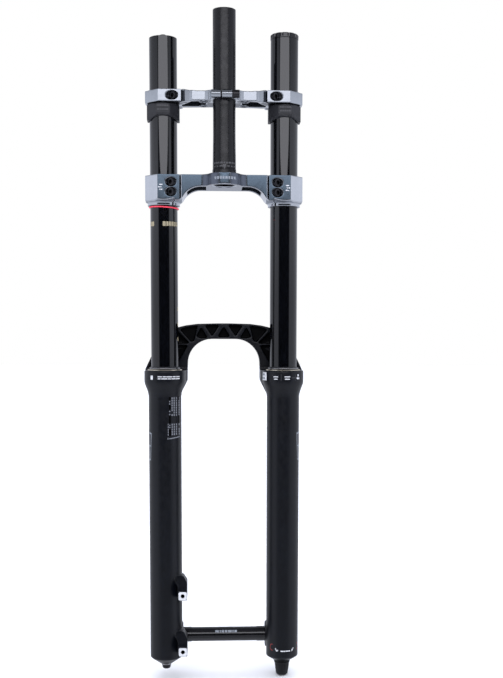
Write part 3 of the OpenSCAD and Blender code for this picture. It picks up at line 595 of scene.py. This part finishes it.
def outer_panels():
    """A plain tapering outline on the outer side of each leg."""
    outline = [
        [(-128, -326), (-53.5, -330), (-53.5, -328), (-128, -323.6)],
        [(-56.5, -330), (-53.5, -330), (-60, -362), (-63, -362)][::-1],
        [(-128, -326), (-125, -326), (-121, -366), (-124, -366)][::-1],
        [(-124, -367.6), (-60, -363.6), (-60, -361.6), (-124, -365.6)],
        [(-124, -345.6), (-57.5, -345.6), (-57.5, -344.2), (-124, -344.2)],
    ]
    fill = [[(-121, -343), (-62, -343), (-60, -331), (-123, -328)]]
    for side, aim, place in (("left", at_left_leg, lambda q: q), ("right", at_right_leg, mirrored)):
        printed(side + "_leg_panel_outline", "lower_legs", "lowers", aim, place(outline), print_grey)
        printed(side + "_leg_panel", "lower_legs", "lowers", aim, place(fill), print_faint)


def foot_marks():
    white = row_of_bars(-9, 26, -617.6, -616.1, [3, 2, 3, 2], 1.2)
    white += [[(-30, -613.6), (-27.5, -613.2), (-21, -617), (-24, -617.6)],
              [(-23, -617), (-20.5, -617.6), (-17, -615.2), (-19, -614.8)],
              [(32, -617.4), (34.5, -618), (42, -613.4), (39.5, -613)],
              [(33, -614.8), (34.6, -614.4), (35.4, -616.6), (33, -617)]]
    printed("right_foot_marks", "lower_legs", "lowers", at_right_leg, white, print_white)
    arcs = []
    for middle_angle, way in ((-43, 1), (62, -1)):
        for i in range(8):
            a, b = (math.radians(70 + 28 * k) for k in (i, i + 1))
            ring = []
            for angle, reach in ((a, 1), (b, 1), (b, 0.8), (a, 0.8)):
                across = way * 9.5 * reach * math.cos(angle)
                ring.append((middle_angle + across, -612.5 + 4.6 * reach * math.sin(angle)))
            arcs.append(ring)
    printed("right_foot_arcs", "lower_legs", "lowers", at_right_leg, arcs, print_red)


def crown_marks():
    widths = ([5], [5, 3], [4, 3])
    lines = []
    for index, parts in enumerate(widths):
        top = -12.2 - 3 * index
        inset = 1.2 * (index % 2)
        lines += row_of_bars(-84.5 + inset, -77.8 - inset, top - 1.4, top, parts, 0.8)
    printed("lower_crown_left_marks", "lower_crown", "crowns", straight_ahead, lines, print_white)
    printed("lower_crown_right_marks", "lower_crown", "crowns", straight_ahead, mirrored(lines), print_white)
    words = row_of_bars(-12.5, 14, -8.4, -5, [1, 1.2, 1, 1.1, 1.3, 1, 1.2, 1.1], 0.9)
    printed("lower_crown_middle_marks", "lower_crown", "crowns", straight_ahead, words, print_grey)


def steerer_marks():
    dashes = row_of_bars(-74, 74, 11.4, 13.4, [1, 2, 1.4, 1, 2.2, 1, 1.6, 2, 1, 1.8, 1.2], 3.5)
    dashes += row_of_bars(-60, 66, 7.6, 9, [1.4, 1, 2, 1, 1.5, 1.2, 1.8], 8)
    dashes.append([(-2, 5), (2, 5), (8, 10.4), (-8, 10.4)])
    printed("steerer_marks", "steerer_tube", "crowns", at_steerer, dashes, print_faint)


def axle_marks():
    words = [[(u, v) for v, u in corners] for corners in row_of_bars(-12, 17, 27, 46, [3, 1, 2, 2, 3, 1, 2], 1)]
    words = [[corners[0], corners[3], corners[2], corners[1]] for corners in words]
    printed("axle_marks", "thru_axle", "axle", towards_axle, words, print_grey)


def bumper_bars():
    """Small raised bars moulded in two rows on the back of each bumper."""
    for side, centre in (("left", left_leg.x / MM), ("right", right_leg.x / MM)):
        rows = row_of_bars(centre - 6.8, centre + 6.8, 84, 86.2, [1, 1.4, 1, 1.2, 1], 0.8)
        rows += row_of_bars(centre - 6.8, centre + 6.8, 79.4, 81.6, [1.3, 1, 1.2, 1, 1.2], 0.8)
        rows += frame_of_bars(centre - 8.2, centre + 8.2, 77.6, 87.6, 0.35, 0.35)
        printed(side + "_bumper_bars", "bumper_" + side, "crowns", straight_ahead, rows, print_faint,
                lift=0.2 * MM)


def brake_pads():
    """The machined face round each brake bolt, a rounded square plate with the bolt's hole."""
    half_w, half_h, corner, hole, depth = (v * MM for v in (5.3, 5.45, 1.9, 2.6, 0.25))
    steps = 64
    tree = surface("lower_legs")
    for number, centre in enumerate((brake_middle + half_spacing, brake_middle - half_spacing)):
        start = centre + Vector((half_w - 0.6 * MM, -REACH, half_h - 0.6 * MM))
        face_y = tree.ray_cast(start, Vector((0, 1, 0)))[0].y
        rings = []
        for i in range(steps):
            angle = math.tau * (i + 0.5) / steps
            c, s = math.cos(angle), math.sin(angle)
            inner_w, inner_h = half_w - corner, half_h - corner
            reach = min(half_w / max(abs(c), 1e-9), half_h / max(abs(s), 1e-9))
            x, y = c * reach, s * reach
            if abs(x) > inner_w and abs(y) > inner_h:
                cx, cy = math.copysign(inner_w, x), math.copysign(inner_h, y)
                away = Vector((x - cx, y - cy)).normalized() * corner
                x, y = cx + away.x, cy + away.y
            rings.append(((c * hole, s * hole), (x, y)))
        verts, faces = [], []
        for inner, outer in rings:
            for (x, y), level in ((inner, 0), (inner, depth), (outer, depth), (outer, 0)):
                verts.append((centre.x + x, face_y - level, centre.z + y))
        for i in range(steps):
            j = (i + 1) % steps
            for k in range(3):
                faces.append((i * 4 + k, i * 4 + k + 1, j * 4 + k + 1, j * 4 + k))
        mesh = bpy.data.meshes.new("brake_pad_face")
        mesh.from_pydata(verts, [], faces)
        mesh.materials.append(machined)
        made = bpy.data.objects.new("brake_pad_face_" + "ab"[number], mesh)
        scene.collection.objects.link(made)
        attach(made, "lowers")


brake_mount = next(m for m in frame["record"]["mounts"] if "brake" in m["name"])
brake_middle = Vector(brake_mount["pos_m"])
half_spacing = Vector((0, 0, brake_mount["dims"]["spacing_y_mm"] / 2)) * MM
stanchion_marks()
collar_marks()
leg_table()
outer_panels()
foot_marks()
crown_marks()
steerer_marks()
axle_marks()
bumper_bars()
brake_pads()


# ---------- studio: camera, world, lights, floor ----------

def camera_like_photo():
    """The photo's camera, fitted to the standard steerer and stanchion sizes, in the row frame."""
    eye = Vector((-22.0, -1339.1, -200.2)) * MM
    yaw, down, roll = (math.radians(a) for a in (2.97, 5.162, 0.136))
    focal_px, centre_x, centre_y = 1045.2, 261.4, 428.7
    photo_w, photo_h = 503, 678
    ahead = Vector((math.sin(yaw) * math.cos(down), math.cos(yaw) * math.cos(down), -math.sin(down)))
    level = Vector((math.cos(yaw), -math.sin(yaw), 0))
    upward = level.cross(ahead)
    right = level * math.cos(roll) + upward * math.sin(roll)
    up = upward * math.cos(roll) - level * math.sin(roll)
    data = bpy.data.cameras.new("photo_camera")
    data.sensor_width = 36
    data.lens = focal_px / photo_h * data.sensor_width
    data.shift_x = (photo_w / 2 - centre_x) / photo_h
    data.shift_y = (centre_y - photo_h / 2) / photo_h
    data.clip_start, data.clip_end = 0.05, 50
    made = bpy.data.objects.new("photo_camera", data)
    scene.collection.objects.link(made)
    made.matrix_world = Matrix.Translation(eye) @ Matrix((right, up, -ahead)).transposed().to_4x4()
    scene.camera = made


def studio_world():
    """White all round for the camera. In reflections the side behind the camera is dark, as in a studio."""
    world = bpy.data.worlds.new("studio")
    scene.world = world
    world.use_nodes = True
    tree = world.node_tree
    tree.nodes.clear()

    def node(kind, **settings):
        made = tree.nodes.new(kind)
        for key, value in settings.items():
            setattr(made, key, value)
        return made

    def ranged(value, from_min, from_max, to_min, to_max):
        span = node("ShaderNodeMapRange", interpolation_type="SMOOTHSTEP")
        span.inputs["From Min"].default_value = from_min
        span.inputs["From Max"].default_value = from_max
        span.inputs["To Min"].default_value = to_min
        span.inputs["To Max"].default_value = to_max
        tree.links.new(value, span.inputs["Value"])
        return span.outputs["Result"]

    def combined(operation, first, second):
        made = node("ShaderNodeMath", operation=operation)
        tree.links.new(first, made.inputs[0])
        tree.links.new(second, made.inputs[1])
        return made.outputs[0]

    direction = node("ShaderNodeTexCoord").outputs["Generated"]
    split = node("ShaderNodeSeparateXYZ")
    tree.links.new(direction, split.inputs["Vector"])
    front = ranged(split.outputs["Y"], -0.76, -0.64, 0.025, 1.0)
    floor_side = ranged(split.outputs["Z"], -0.28, -0.12, 0.75, 0.0)
    near_level = ranged(split.outputs["Z"], 0.02, 0.13, 0.75, 1.0)
    higher = ranged(split.outputs["Z"], 0.13, 0.3, 1.0, 0.6)
    highest = combined("MAXIMUM", ranged(split.outputs["Z"], 0.4, 0.8, 1.0, 0.35),
                       ranged(split.outputs["Y"], 0.25, 0.5, 0.0, 1.0))
    height = combined("MULTIPLY", near_level, combined("MULTIPLY", higher, highest))
    light_path = node("ShaderNodeLightPath")
    overhead = combined("MULTIPLY", ranged(split.outputs["Z"], 0.45, 0.75, 0.0, 2.1),
                        light_path.outputs["Is Diffuse Ray"])
    lower_half = combined("MAXIMUM", front, floor_side)
    glow = combined("ADD", combined("MULTIPLY", lower_half, height), overhead)
    around = node("ShaderNodeBackground")
    around.inputs["Color"].default_value = (0.92, 0.955, 1.07, 1)
    tree.links.new(glow, around.inputs["Strength"])
    seen = node("ShaderNodeBackground")
    seen.inputs["Color"].default_value = (1, 1, 1, 1)
    seen.inputs["Strength"].default_value = 1.0
    mix = node("ShaderNodeMixShader")
    tree.links.new(light_path.outputs["Is Camera Ray"], mix.inputs["Fac"])
    tree.links.new(around.outputs[0], mix.inputs[1])
    tree.links.new(seen.outputs[0], mix.inputs[2])
    tree.links.new(mix.outputs[0], node("ShaderNodeOutputWorld").inputs["Surface"])


def softbox(name, place, target, width, height, radiance, colour=(0.97, 0.975, 1.05), lit=None, unlit=()):
    """An oval light of even radiance that faces the target, which may light some pieces only."""
    data = bpy.data.lights.new(name, "AREA")
    data.shape = "ELLIPSE"
    data.size, data.size_y = width, height
    data.energy = radiance * (math.pi / 4) * width * height * math.pi
    data.color = colour
    made = bpy.data.objects.new(name, data)
    scene.collection.objects.link(made)
    made.location = place
    made.rotation_euler = (Vector(target) - Vector(place)).to_track_quat("-Z", "Y").to_euler()
    receivers = bpy.data.collections.new(name + "_receivers")
    for piece in lit or unlit:
        receivers.objects.link(piece)
    if not lit:
        for entry in receivers.collection_objects:
            entry.light_linking.link_state = "EXCLUDE"
    made.light_linking.receiver_collection = receivers


def pale_floor():
    """A wide disc just under the lowest part. It shows pale and isn't seen in gloss."""
    low = cad_low.z - 0.001
    mesh = bpy.data.meshes.new("floor")
    ring = [(14 * math.cos(a), 14 * math.sin(a), low) for a in (math.tau * i / 96 for i in range(96))]
    mesh.from_pydata(ring, [], [range(96)])
    floor = bpy.data.objects.new("floor", mesh)
    scene.collection.objects.link(floor)
    paint = Shader("floor_pale", (0.86, 0.86, 0.86), 0, 0.8)
    paint.vary_colour(paint.noise(0.4), (0.88, 0.88, 0.88))
    mesh.materials.append(paint.material)
    floor.visible_glossy = False


camera_like_photo()
studio_world()
KEY = ((0, -2.4, 0.8), (0, 0, 0.1), 4.0, 1.0)
upper_group = [forged_upper, nodes["bumper_left"], nodes["bumper_right"]]
softbox("key_above_camera", *KEY, 2.7, unlit=[forged_lower] + upper_group)
softbox("key_lower_crown", *KEY, 0.42, (0.8, 1.06, 1.36), lit=[forged_lower])
softbox("key_upper_crown", *KEY, 1.6, lit=upper_group)
pale_floor()
scene.view_settings.view_transform = "Standard"
